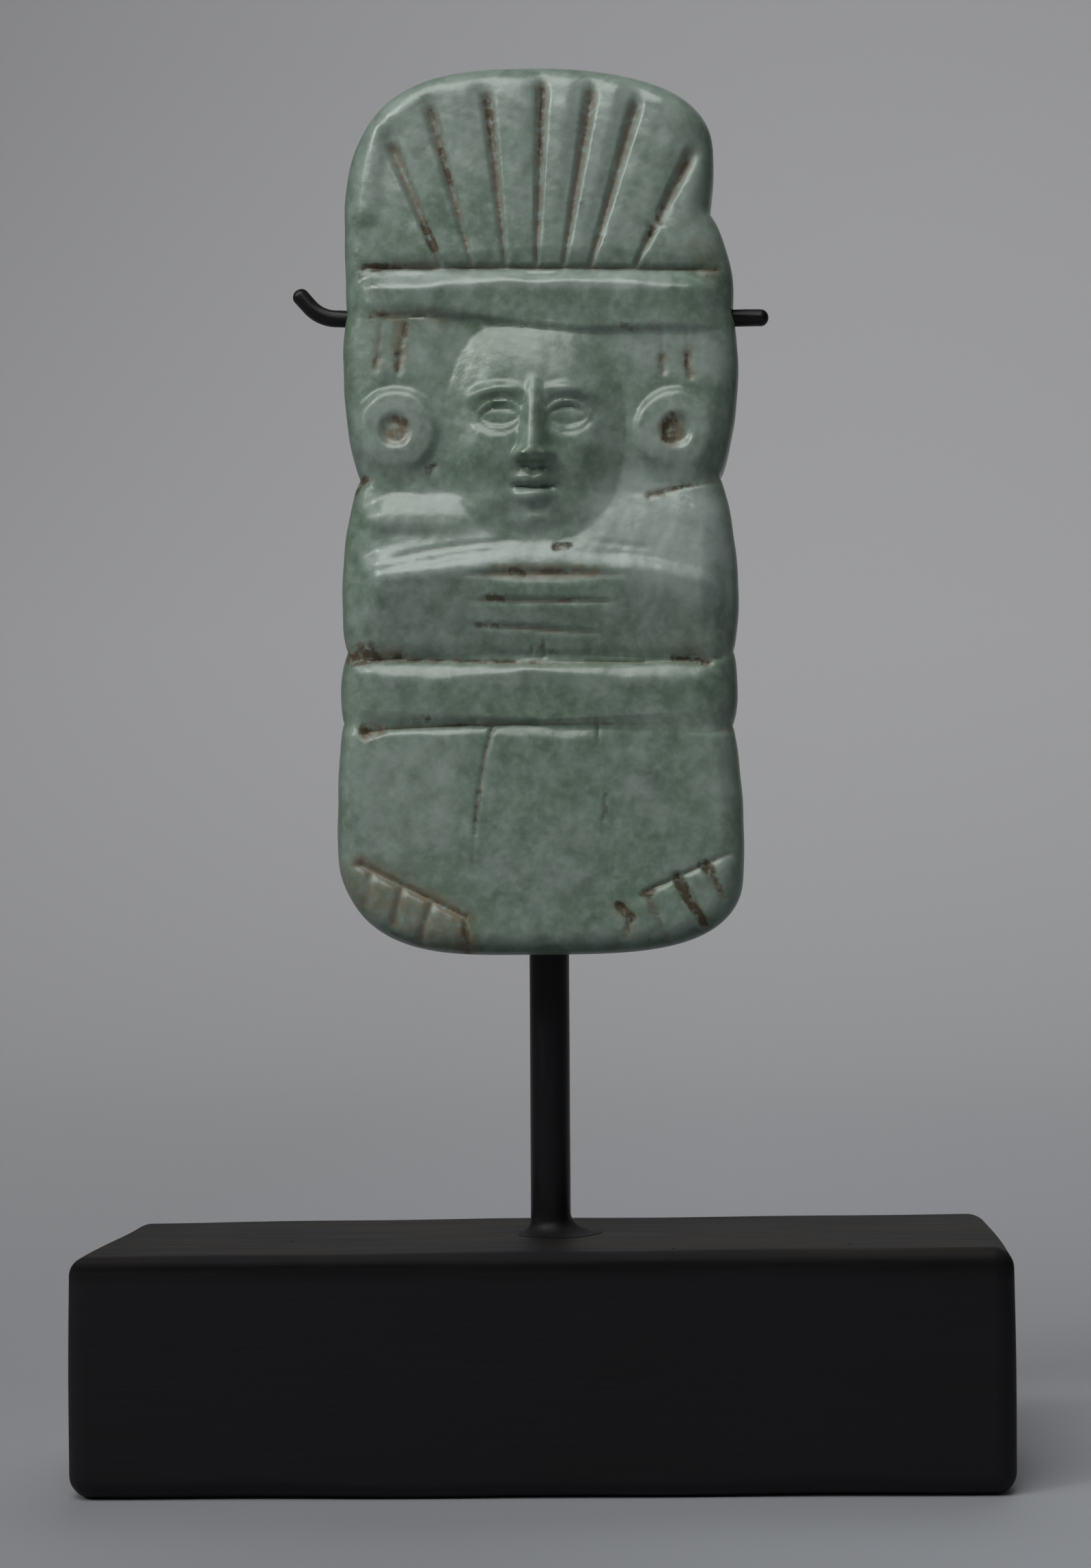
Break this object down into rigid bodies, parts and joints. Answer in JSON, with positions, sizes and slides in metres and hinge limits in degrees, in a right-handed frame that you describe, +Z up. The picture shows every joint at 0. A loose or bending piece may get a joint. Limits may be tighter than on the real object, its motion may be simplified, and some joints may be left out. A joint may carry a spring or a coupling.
{
  "type": "carved jade plaque on a display stand",
  "caption": "Carved green jade plaque of a standing figure in low relief, held by a bent wire on a steel post in a black wooden block.",
  "frame": {"origin": "centre of the block's underside, on the surface that the stand rests on", "axes": "+Z up along the post, the plaque's carved front faces -Y, +X to the right as seen from the front"},
  "size_m": [0.107, 0.032, 0.1656],
  "materials": {
    "jade": "polished green jade, mottled, with brown iron stains in the cuts",
    "painted_wood": "matt black paint over fine-grained wood",
    "black_steel": "satin black paint",
    "black_sleeve": "shrunk black plastic sleeve over wire"
  },
  "bodies": {
    "root": {"jade_plaque": "jade", "base_block": "painted_wood", "post": "black_steel", "wire_holder": "black_sleeve"}
  },
  "joints": []
}
